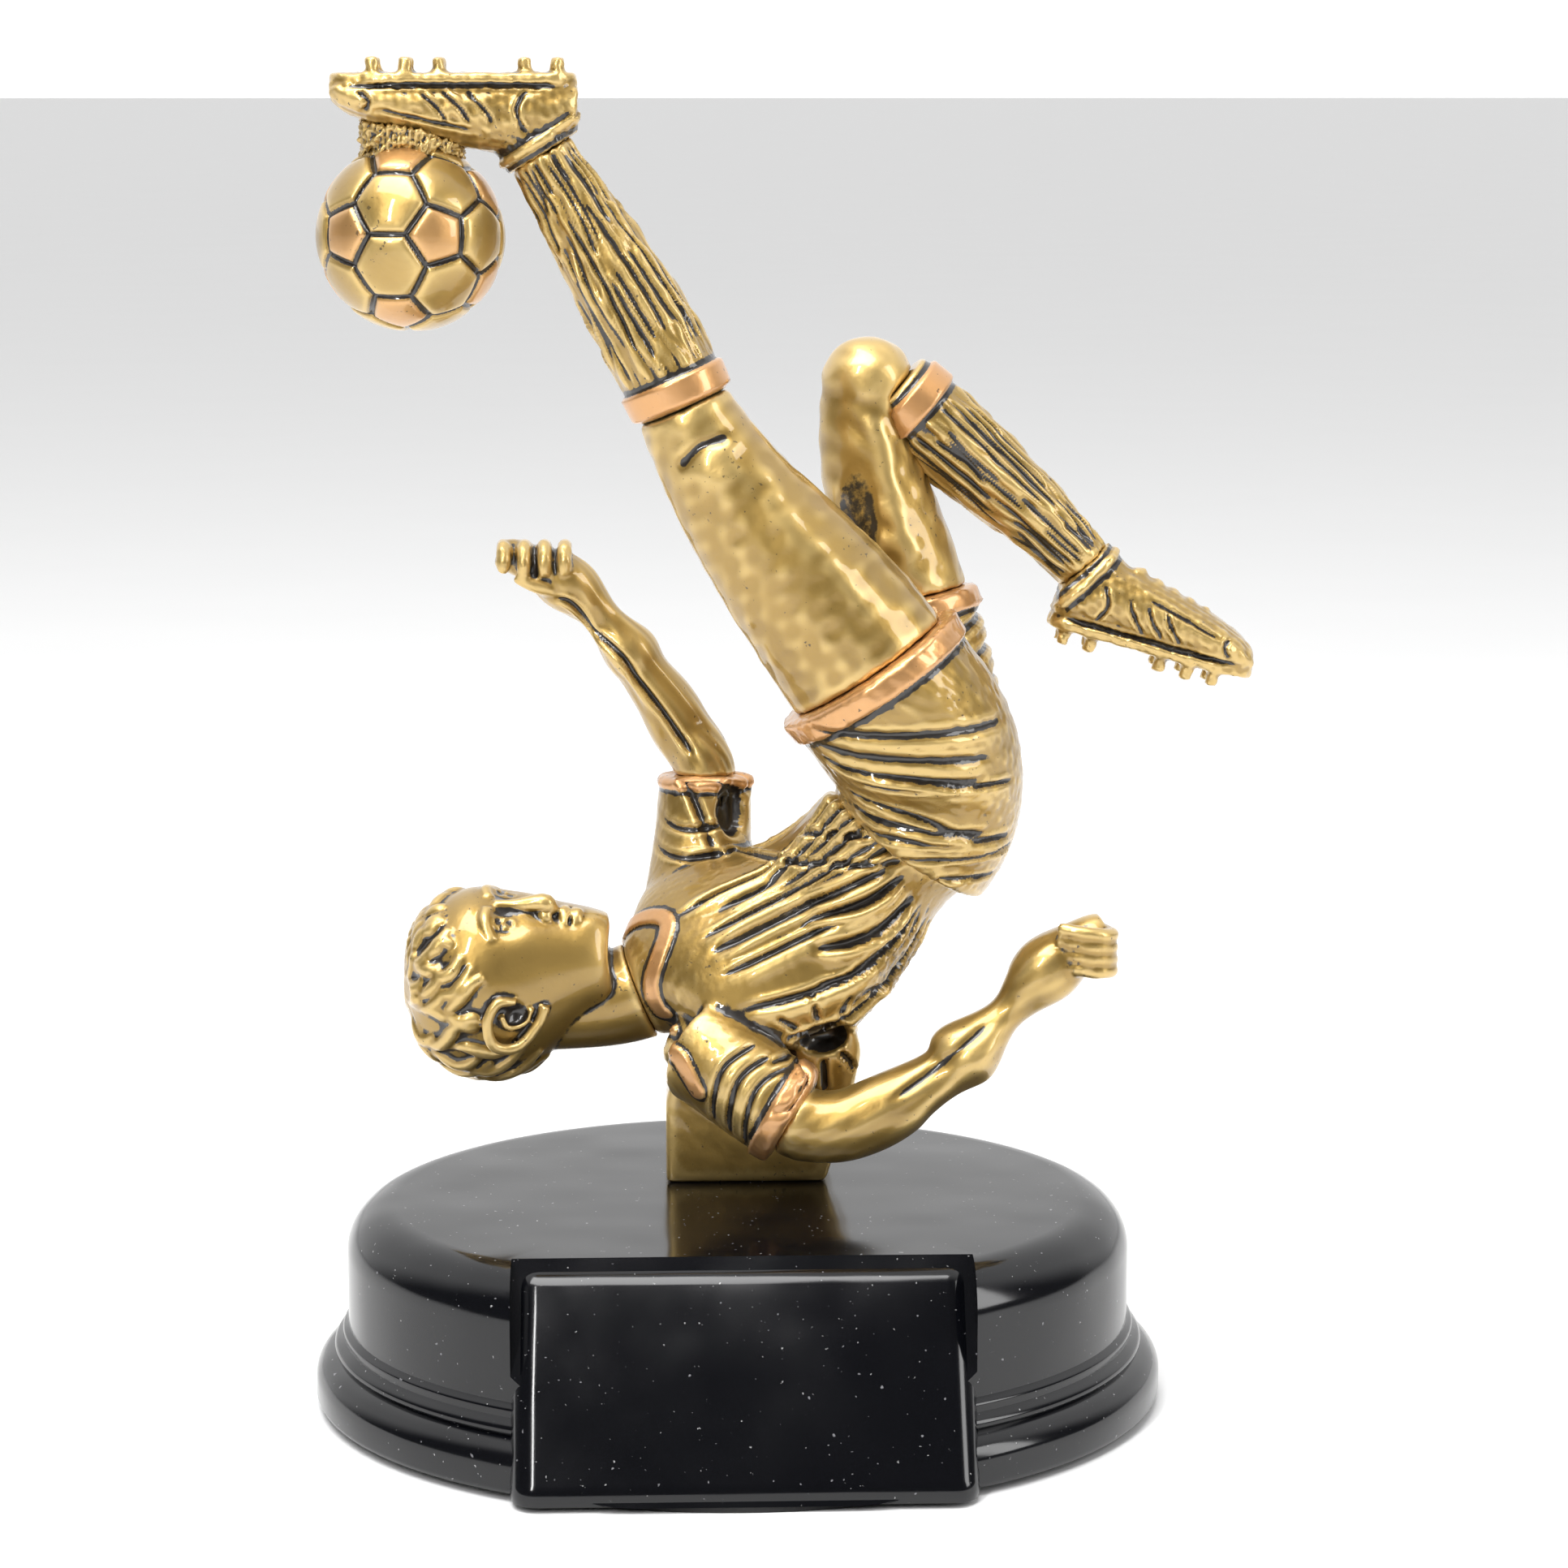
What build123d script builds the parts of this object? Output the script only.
from build123d import *
from math import atan2, degrees, hypot, pi, sin
import os

# Figure trophy: a footballer in an overhead kick, on a black oval base.
# Millimetres. +Z is up, the slanted tablet faces -Y, and the origin lies on the
# table under the middle of the base.

# ---- Base casting -------------------------------------------------------------
wall_length = 108.8         # oval wall, left to right
wall_width = 89.0           # oval wall, front to back
base_height = 27.7          # casting alone, felt not counted
shoulder_radius = 6.8       # rounded top edge of the wall
foot_reach = 4.6            # foot moulding, beyond the wall all round
foot_height = 7.0           # bulging part of the foot moulding
foot_round = 3.6            # upper rounding of the bulge
foot_under_round = 1.1      # lower rounding of the bulge
step_reach = 2.0            # small step above the bulge
step_height = 1.8
step_round = 1.2
cove_reach = 0.8            # last ledge before the wall
cove_height = 1.8
cove_round = 0.6

# ---- Slanted tablet, cast with the base -----------------------------------------
tablet_width = 61.0
tablet_corner = 3.5
tablet_toe_reach = 3.0      # lower edge in front of the wall
tablet_setback = 15.5       # upper edge behind the front of the wall
tablet_rim = 0.8            # tablet face stands this far out of the cut ground
tablet_depth = 14.0         # block behind the face

# ---- Felt and hidden fixing -------------------------------------------------------
felt_thickness = 0.8
felt_inset = 2.6            # felt edge inside the foot moulding
stud_diameter = 6.0         # steel rod through the base into the figure's block
stud_clearance = 0.3        # radial, in the base and in the washer
stud_grip_clearance = 0.05  # radial, in the block
stud_in_block = 18.0
stud_tail = 1.0             # rod past the nut
stud_place = (3.0, 14.0)
washer_diameter = 16.0
washer_thickness = 1.6
nut_flats = 10.0
nut_height = 5.0
recess_diameter = 18.0      # counterbore for washer and nut
recess_depth = 9.0

# ---- Figure -----------------------------------------------------------------------
figure_height = 156.3       # top of the base to the highest boot stud
pose_height = 156.3         # the same height in the pose that the tables below give
block_width = 16.0          # mounting block, front to back
block_front = 5.0
football_diameter = 25.2
kicking_boot_length = 33.4
trailing_boot_length = 29.8
stud_radius = 0.95          # boot studs
stud_reach = 2.1

# ---- Steel pins between the castings ------------------------------------------------
pin_clearance = 0.05        # radial
pin_end_clearance = 0.3
thick_pin = (1.5, 12.0)     # radius, length
limb_pin = (1.0, 9.0)
thin_pin = (0.8, 7.0)

base_top = felt_thickness + base_height
grow = figure_height / pose_height
limb_steps = 4              # spans that a limb is lofted in
DEPTH = (0, 1, 0)           # sections of limbs keep their X axis along the figure's depth


def at(x, y, up):
    """Point of the figure, its height counted from the top of the base."""
    return Vector(x * grow, y * grow, base_top + up * grow)


def oval(station, run, across=DEPTH):
    """Oval section at a station (x, y, up, half width, half depth), square to a run."""
    x, y, up, half_width, half_depth = station
    with BuildSketch(Plane(origin=at(x, y, up), x_dir=across, z_dir=run)) as outline:
        Ellipse(half_depth * grow, half_width * grow)
    return outline.sketch


def ovals(stations, first_run=None, last_run=None):
    """Sections along a limb. Each faces along the line between its neighbours."""
    last = len(stations) - 1
    sections = []
    for index, station in enumerate(stations):
        behind = Vector(*stations[max(index - 1, 0)][:3])
        ahead = Vector(*stations[min(index + 1, last)][:3])
        run = ahead - behind
        if index == 0 and first_run:
            run = first_run
        if index == last and last_run:
            run = last_run
        sections.append(oval(station, run))
    return sections


def limb(start, end, swell=0.0, bow=1.0):
    """Stations between two joints. The middle line leaves the first joint along its run and
    meets the second along that one's run. Muscle swells it, most near the start."""
    (first, first_run), (last, last_run) = start, end
    start_place, end_place = Vector(*first[:3]), Vector(*last[:3])
    reach = (end_place - start_place).length * bow
    leave = Vector(*first_run).normalized() * reach
    arrive = Vector(*last_run).normalized() * reach
    stations = [first]
    for step in range(1, limb_steps):
        t = step / limb_steps
        place = start_place * ((1 + 2 * t) * (1 - t) ** 2) + leave * (t * (1 - t) ** 2)
        place += end_place * (t * t * (3 - 2 * t)) - arrive * (t * t * (1 - t))
        bulge = swell * 2 * (1 - t) * sin(pi * t)
        girth = [near + (far - near) * t + bulge for near, far in zip(first[3:], last[3:])]
        stations.append((place.X, place.Y, place.Z, *girth))
    return stations + [last]


def inside(joint, room):
    """The same joint for the bare limb, which is thinner than its sleeve or hem."""
    (x, y, up, half_width, half_depth), run = joint
    return (x, y, up, half_width - room, half_depth - room), run


def joint_plane(joint):
    """Plane of the glued joint between two castings, facing along the joint's run."""
    station, run = joint
    return Plane(origin=at(*station[:3]), x_dir=DEPTH, z_dir=run)


def drill(joint, pin):
    """Blind hole on both sides of a joint, in the casting being made."""
    radius, length = pin
    with BuildSketch(joint_plane(joint)) as bore:
        Circle(radius + pin_clearance)
    extrude(bore.sketch, amount=length / 2 + pin_end_clearance, both=True, mode=Mode.SUBTRACT)


def save(builder, name):
    """Label a finished piece and write it."""
    builder.part.label = name
    export_step(builder.part, f"parts/{name}.step")


# ---- Glued joints: a station (x, y, up, half width, half depth) and the run across it --
# Their places are good to about half a millimetre.
neck_joint = ((-13.5, 12.0, 26.5, 7.0, 6.8), (0.93, 0.0, 0.37))
waist_joint = ((24.0, 12.0, 47.0, 12.5, 13.0), (0.57, 0.0, 0.82))
right_cuff = ((7.5, -4.0, 12.0, 6.5, 6.5), (0.85, -0.2, -0.48))
left_cuff = ((-4.0, 28.0, 54.5, 6.5, 6.5), (0.0, 0.05, 1.0))
kicking_hem = ((18.0, 3.5, 74.0, 13.5, 12.0), (-0.56, 0.0, 0.83))
trailing_hem = ((24.5, 22.5, 81.0, 9.5, 8.5), (-0.2, 0.05, 0.98))
kicking_knee = ((-7.0, 4.0, 109.5, 6.5, 6.3), (-0.4, 0.03, 0.92))
kicking_ankle = ((-26.0, 6.0, 143.0, 4.5, 4.2), (-0.52, 0.0, 0.85))
trailing_knee = ((22.5, 24.0, 110.0, 6.2, 6.0), (0.74, 0.0, -0.67))
trailing_ankle = ((49.5, 22.0, 85.5, 4.2, 4.0), (0.66, 0.0, -0.75))
ball_joint = ((-43.0, 6.0, 145.0, 7.0, 4.8), (0.0, 0.0, 1.0))

os.makedirs("parts", exist_ok=True)

# ---- Base ---------------------------------------------------------------------------
half_length = wall_length / 2
half_width = wall_width / 2
toe_y = -half_width - tablet_toe_reach
top_y = -half_width + tablet_setback
lean = degrees(atan2(top_y - toe_y, base_height))
slope = hypot(top_y - toe_y, base_height)
tablet_centre = Vector(0, (toe_y + top_y) / 2, felt_thickness + base_height / 2)
tablet_plane = Plane(origin=tablet_centre, x_dir=(1, 0, 0), z_dir=(0, -base_height, top_y - toe_y))
stud_x, stud_y = stud_place[0] * grow, stud_place[1] * grow

# The wall and its foot moulding are a stack of ovals, each with a rounded upper edge:
# reach beyond the wall, height, rounding.
ledges = [
    (foot_reach, foot_height, foot_round),
    (step_reach, step_height, step_round),
    (cove_reach, cove_height, cove_round),
    (0.0, base_height - foot_height - step_height - cove_height, shoulder_radius),
]

with BuildPart() as base:
    level = felt_thickness
    for reach, height, rounding in ledges:
        with BuildSketch(Plane.XY.offset(level)):
            Ellipse(half_length + reach, half_width + reach)
        extrude(amount=height)
        fillet(base.edges().group_by(Axis.Z)[-1], radius=rounding)
        level += height
    fillet(base.edges().group_by(Axis.Z)[0], radius=foot_under_round)
    # The ground in front of the tablet's rim is cut away, then the tablet is added.
    with BuildSketch(tablet_plane.offset(-tablet_rim)):
        Rectangle(tablet_width, 2 * slope)
    extrude(amount=half_width, mode=Mode.SUBTRACT)
    with BuildSketch(tablet_plane):
        RectangleRounded(tablet_width, slope, tablet_corner)
    extrude(amount=-tablet_depth)
    split(bisect_by=Plane.XY.offset(felt_thickness), keep=Keep.TOP)
    # Clearance hole for the rod, with a recess for washer and nut underneath.
    with Locations((stud_x, stud_y, felt_thickness)):
        Cylinder(
            stud_diameter / 2 + stud_clearance,
            base_height,
            align=(Align.CENTER, Align.CENTER, Align.MIN),
            mode=Mode.SUBTRACT,
        )
        Cylinder(
            recess_diameter / 2,
            recess_depth,
            align=(Align.CENTER, Align.CENTER, Align.MIN),
            mode=Mode.SUBTRACT,
        )
save(base, "base")

with BuildPart() as felt_pad:
    with BuildSketch():
        Ellipse(half_length + foot_reach - felt_inset, half_width + foot_reach - felt_inset)
    extrude(amount=felt_thickness)
save(felt_pad, "felt_pad")

recess_floor = felt_thickness + recess_depth
with BuildPart() as anchor_washer:
    with BuildSketch(Plane(origin=(stud_x, stud_y, recess_floor))):
        Circle(washer_diameter / 2)
        Circle(stud_diameter / 2 + stud_clearance, mode=Mode.SUBTRACT)
    extrude(amount=-washer_thickness)
save(anchor_washer, "anchor_washer")

nut_top = recess_floor - washer_thickness
with BuildPart() as anchor_nut:
    with BuildSketch(Plane(origin=(stud_x, stud_y, nut_top))):
        RegularPolygon(nut_flats / 2, side_count=6, major_radius=False)
        Circle(stud_diameter / 2 + stud_grip_clearance, mode=Mode.SUBTRACT)
    extrude(amount=-nut_height)
    chamfer(anchor_nut.edges().filter_by(GeomType.LINE).group_by(Axis.Z)[0], length=0.4)
save(anchor_nut, "anchor_nut")

stud_bottom = nut_top - nut_height - stud_tail
with BuildPart() as anchor_stud:
    with BuildSketch(Plane(origin=(stud_x, stud_y, stud_bottom))):
        Circle(stud_diameter / 2)
    extrude(amount=base_top + stud_in_block - stud_bottom)
    chamfer(anchor_stud.edges(), length=0.6)
save(anchor_stud, "anchor_stud")

# ---- Torso with sleeves and mounting block --------------------------------------------
# The body runs from the neck to the waist along the spine. Sections are widest along
# the line of the shoulders, which is turned towards the sky on the far side.
shoulders = Vector(-6.2, 13.0, 30.2)
spine = Vector(0.871, 0.0, 0.491)
shoulder_line = (-0.308, 0.779, 0.547)
towards_back = Vector(0.491, 0.0, -0.871)
# distance down the spine, shift towards the back, half width across the shoulders,
# half depth of the chest
chest_sizes = [
    (-4.5, 0.2, 10.5, 8.6),
    (-1.0, 0.6, 14.8, 9.6),
    (4.0, 1.4, 17.2, 10.6),
    (11.0, 3.4, 17.2, 11.4),
    (21.0, 3.8, 14.6, 11.5),
]
right_shoulder = ((-5.0, 2.5, 20.5, 7.8, 7.6), (0.72, -0.6, -0.35))
left_shoulder = ((-6.0, 18.0, 33.0, 7.8, 7.8), (0.1, 0.66, 0.74))
block_outline = [(-10, 0), (12.5, 0), (16, 11), (17.5, 19), (14, 32), (-6, 27), (-10, 12)]

with BuildPart() as torso_shirt:
    body = [oval(neck_joint[0], neck_joint[1], shoulder_line)]
    for down, shift, half_across, half_front in chest_sizes:
        centre = shoulders + spine * down + towards_back * shift
        station = (centre.X, centre.Y, centre.Z, half_front, half_across)
        body.append(oval(station, spine, shoulder_line))
    body.append(oval(waist_joint[0], waist_joint[1], shoulder_line))
    loft(body)
    split(bisect_by=joint_plane(waist_joint), keep=Keep.BOTTOM)
    loft(ovals(limb(right_shoulder, right_cuff), right_shoulder[1], right_cuff[1]))
    loft(ovals(limb(left_shoulder, left_cuff), left_shoulder[1], left_cuff[1]))
    with BuildSketch(Plane(origin=at(0, block_front, 0), x_dir=(1, 0, 0), z_dir=(0, 1, 0))) as block:
        with BuildLine():
            Polyline([(x * grow, -up * grow) for x, up in block_outline], close=True)
        make_face()
    extrude(amount=block_width * grow)
    with BuildSketch(Plane(origin=(stud_x, stud_y, base_top))):
        Circle(stud_diameter / 2 + stud_grip_clearance)
    extrude(amount=stud_in_block + pin_end_clearance, mode=Mode.SUBTRACT)
    drill(neck_joint, limb_pin)
    drill(waist_joint, thick_pin)
    drill(right_cuff, limb_pin)
    drill(left_cuff, limb_pin)
save(torso_shirt, "torso_shirt")

# ---- Shorts ------------------------------------------------------------------------------
seat_bow = 1.35             # how far the seat bulges behind the straight line
trailing_hip = ((28.0, 16.0, 54.5, 11.0, 8.8), (0.1, 0.45, 0.89))

with BuildPart() as shorts:
    loft(ovals(limb(waist_joint, kicking_hem, bow=seat_bow), waist_joint[1], kicking_hem[1]))
    split(bisect_by=joint_plane(waist_joint), keep=Keep.TOP)
    loft(ovals(limb(trailing_hip, trailing_hem), trailing_hip[1], trailing_hem[1]))
    drill(waist_joint, thick_pin)
    drill(kicking_hem, thick_pin)
    drill(trailing_hem, thick_pin)
save(shorts, "shorts")

# ---- Head --------------------------------------------------------------------------------
# One rough size gives the rest by shares of it. As in drawing books, the head is 8/7 as
# high as it is deep, and the jaw lies under the front half of the skull. The form below
# is the head with its hair, so it is a little deeper than head_depth.
head_depth = 25.0
head_height = head_depth * 8 / 7
crown = (-46.5, 10.0, 28.5)
# all as shares of the height: down from the crown, forward, half depth, half width
head_form = [
    (0.00, 0.00, 0.12, 0.10),
    (0.07, 0.00, 0.28, 0.24),
    (0.22, 0.00, 0.42, 0.35),
    (0.42, 0.00, 0.47, 0.38),
    (0.64, 0.05, 0.40, 0.33),
    (0.84, 0.11, 0.30, 0.27),
    (1.00, 0.18, 0.15, 0.16),
]
skull_base = ((-27.0, 10.5, 24.5, 6.2, 6.2), (0.98, 0.1, 0.1))

with BuildPart() as head:
    skull_and_jaw = []
    for down, forward, half_front, half_across in head_form:
        x, y, up = crown[0] + down * head_height, crown[1], crown[2] + forward * head_height
        skull_and_jaw.append((x, y, up, half_front * head_height, half_across * head_height))
    loft(ovals(skull_and_jaw, (1, 0, 0), (1, 0, 0)))
    loft(ovals(limb(skull_base, neck_joint), skull_base[1], neck_joint[1]))
    drill(neck_joint, limb_pin)
save(head, "head")

# ---- Arms ---------------------------------------------------------------------------------
right_sleeve_room = 1.4     # between the cuff's edge and the bare arm
left_sleeve_room = 2.2
right_elbow = ((17.0, -5.0, 12.0, 5.0, 4.8), (0.92, 0.05, 0.38))
right_wrist = ((39.0, -2.0, 28.5, 3.2, 3.2), (0.66, 0.1, 0.74))
right_fist = ((51.0, 0.0, 37.0, 3.0, 3.0), (0.95, 0.1, 0.28))
left_elbow = ((-7.5, 30.0, 61.0, 4.4, 4.2), (-0.48, 0.08, 0.87))
left_wrist = ((-20.0, 31.0, 78.5, 3.0, 2.9), (-0.65, 0.0, 0.76))
left_fingertips = ((-33.5, 31.0, 86.5, 1.8, 1.6), (-0.95, 0.0, 0.3))
hand_swell = 1.3

with BuildPart() as right_arm:
    arm = limb(inside(right_cuff, right_sleeve_room), right_elbow)[:-1] + limb(right_elbow, right_wrist)[:-1]
    loft(ovals(arm + limb(right_wrist, right_fist, hand_swell), right_cuff[1]))
    drill(right_cuff, limb_pin)
save(right_arm, "right_arm")

with BuildPart() as left_arm:
    arm = limb(inside(left_cuff, left_sleeve_room), left_elbow)[:-1] + limb(left_elbow, left_wrist)[:-1]
    loft(ovals(arm + limb(left_wrist, left_fingertips, hand_swell), left_cuff[1]))
    drill(left_cuff, limb_pin)
save(left_arm, "left_arm")

# ---- Legs ----------------------------------------------------------------------------------
kicking_hem_room = 1.6      # between the hem's edge and the bare thigh
trailing_hem_room = 0.8
thigh_swell = 0.6
calf_swell = 0.7
knee_top = ((19.0, 24.0, 109.0, 6.5, 6.3), (0.1, 0.0, 1.0))
knee_centre = (19.0, 24.0, 111.0)
knee_radius = 6.6

with BuildPart() as kicking_thigh:
    thigh = limb(inside(kicking_hem, kicking_hem_room), kicking_knee, thigh_swell)
    loft(ovals(thigh, kicking_hem[1], kicking_knee[1]))
    drill(kicking_hem, thick_pin)
    drill(kicking_knee, limb_pin)
save(kicking_thigh, "kicking_thigh")

with BuildPart() as kicking_shin:
    loft(ovals(limb(kicking_knee, kicking_ankle, calf_swell), kicking_knee[1], kicking_ankle[1]))
    drill(kicking_knee, limb_pin)
    drill(kicking_ankle, thin_pin)
save(kicking_shin, "kicking_shin")

with BuildPart() as trailing_thigh:
    with Locations(at(*knee_centre)):
        Sphere(knee_radius * grow)
    split(bisect_by=joint_plane(trailing_knee), keep=Keep.BOTTOM)
    loft(ovals(limb(inside(trailing_hem, trailing_hem_room), knee_top), trailing_hem[1], knee_top[1]))
    drill(trailing_hem, thick_pin)
    drill(trailing_knee, limb_pin)
save(trailing_thigh, "trailing_thigh")

with BuildPart() as trailing_shin:
    loft(ovals(limb(trailing_knee, trailing_ankle, calf_swell), trailing_knee[1], trailing_ankle[1]))
    # The bent knee's calf beds against the back of the thigh.
    add(trailing_thigh.part, mode=Mode.SUBTRACT)
    drill(trailing_knee, limb_pin)
    drill(trailing_ankle, thin_pin)
save(trailing_shin, "trailing_shin")

# ---- Boots ----------------------------------------------------------------------------------
# A boot is made in its own frame: X from the heel to the toe, Z from the sole to the leg.
# share of the length, height of the section's middle, half height, half width
boot_form = [
    (0.012, 4.4, 3.5, 3.5),
    (0.14, 5.3, 4.9, 4.5),
    (0.33, 5.5, 5.1, 4.8),
    (0.58, 4.7, 4.2, 5.4),
    (0.80, 3.7, 3.3, 5.5),
    (0.94, 2.8, 2.2, 4.3),
    (0.994, 2.3, 1.2, 2.4),
]
sole_thickness = 1.5
stud_places = [(0.09, 2.3), (0.22, 2.3), (0.56, 3.3), (0.69, 3.9), (0.82, 3.3)]


def make_boot(frame, length, ankle, neck_inside):
    """Foot, sole, studs and ankle collar, ending flat on the ankle joint."""
    forms = []
    for share, middle, half_height, half_width_here in boot_form:
        centre = frame.from_local_coords(Vector(share * length, 0, middle) * grow)
        with BuildSketch(Plane(origin=centre, x_dir=frame.y_dir, z_dir=frame.x_dir)) as form:
            Ellipse(half_width_here * grow, half_height * grow)
        forms.append(form.sketch)
    loft(forms)
    with BuildSketch(frame) as sole:
        with Locations((0.13 * length * grow, 0)):
            Circle(3.9 * grow)
        with Locations((0.72 * length * grow, 0)):
            Circle(5.3 * grow)
        with Locations((0.88 * length * grow, 0)):
            Circle(3.8 * grow)
        make_hull()
    extrude(sole.sketch, amount=sole_thickness * grow)
    with BuildSketch(frame) as studs:
        for share, aside in stud_places:
            with Locations((share * length * grow, -aside * grow), (share * length * grow, aside * grow)):
                Circle(stud_radius * grow)
    extrude(studs.sketch, amount=-stud_reach * grow)
    x, y, up, half_across, half_deep = ankle[0]
    collar = (x, y, up, half_across + 0.5, half_deep + 0.5)
    loft([oval(collar, ankle[1]), oval(neck_inside, ankle[1])])
    split(bisect_by=joint_plane(ankle), keep=Keep.TOP)


kicking_boot_frame = Plane(origin=at(-20.6, 6.0, 153.8), x_dir=(-1.0, -0.03, 0.0), z_dir=(0, 0, -1))
trailing_boot_frame = Plane(origin=at(44.3, 21.4, 77.2), x_dir=(0.965, -0.06, -0.262), z_dir=(0.262, 0, 0.965))

with BuildPart() as kicking_boot:
    make_boot(kicking_boot_frame, kicking_boot_length, kicking_ankle, (-28.5, 6.0, 147.5, 5.0, 4.4))
    drill(kicking_ankle, thin_pin)
    drill(ball_joint, thin_pin)
save(kicking_boot, "kicking_boot")

with BuildPart() as trailing_boot:
    make_boot(trailing_boot_frame, trailing_boot_length, trailing_ankle, (52.0, 21.6, 82.2, 5.0, 4.4))
    drill(trailing_ankle, thin_pin)
save(trailing_boot, "trailing_boot")

# ---- Football and the resin web that ties it to the instep -----------------------------------
# The ball hangs from the instep: its top lies just under the joint, whatever its size.
ball_gap = 0.2
ball_top = at(-43.5, 6.0, ball_joint[0][2]) - Vector(0, 0, ball_gap)
ball_centre = ball_top - Vector(0, 0, football_diameter / 2)
web_drop = 4.2
web_rise = 2.6

with BuildPart() as football:
    with Locations(ball_centre):
        Sphere(football_diameter / 2)
    drill(ball_joint, thin_pin)
save(football, "football")

with BuildPart() as ball_web:
    with BuildSketch(joint_plane(ball_joint).offset(-web_drop * grow)):
        Ellipse(ball_joint[0][4] * grow, ball_joint[0][3] * grow)
    extrude(amount=(web_drop + web_rise) * grow)
    with Locations(ball_centre):
        Sphere(football_diameter / 2, mode=Mode.SUBTRACT)
    add(kicking_boot.part, mode=Mode.SUBTRACT)
    drill(ball_joint, thin_pin)
save(ball_web, "ball_web")

# ---- Steel pins inside the joints ----------------------------------------------------------------
pins = {
    "neck_pin": (neck_joint, limb_pin),
    "waist_pin": (waist_joint, thick_pin),
    "right_arm_pin": (right_cuff, limb_pin),
    "left_arm_pin": (left_cuff, limb_pin),
    "kicking_hip_pin": (kicking_hem, thick_pin),
    "trailing_hip_pin": (trailing_hem, thick_pin),
    "kicking_knee_pin": (kicking_knee, limb_pin),
    "trailing_knee_pin": (trailing_knee, limb_pin),
    "kicking_ankle_pin": (kicking_ankle, thin_pin),
    "trailing_ankle_pin": (trailing_ankle, thin_pin),
    "ball_pin": (ball_joint, thin_pin),
}
for name, (joint, size) in pins.items():
    with BuildPart() as pin:
        with BuildSketch(joint_plane(joint)):
            Circle(size[0])
        extrude(amount=size[1] / 2, both=True)
    save(pin, name)
